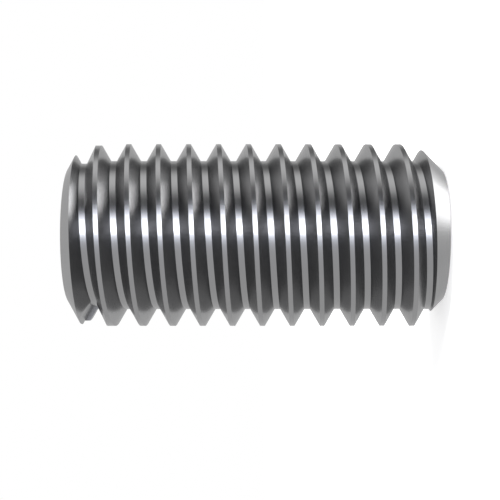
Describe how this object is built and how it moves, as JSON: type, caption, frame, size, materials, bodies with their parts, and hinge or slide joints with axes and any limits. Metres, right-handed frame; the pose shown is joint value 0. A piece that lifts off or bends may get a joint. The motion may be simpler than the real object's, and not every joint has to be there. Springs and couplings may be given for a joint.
{
  "type": "set screw",
  "caption": "Headless steel set screw with a right-hand thread along its whole length, a flat point and a hexagon socket, for locking a hub or collar on a shaft.",
  "frame": {"origin": "centre of the flat point's face, on which the screw stands", "axes": "+Z along the screw's axis, from the flat point to the socket"},
  "size_m": [0.0048, 0.0048, 0.01],
  "materials": {
    "steel": "bright turned steel, uncoated, smooth with a faint machining grain"
  },
  "bodies": {
    "root": {"set_screw": "steel"}
  },
  "joints": []
}
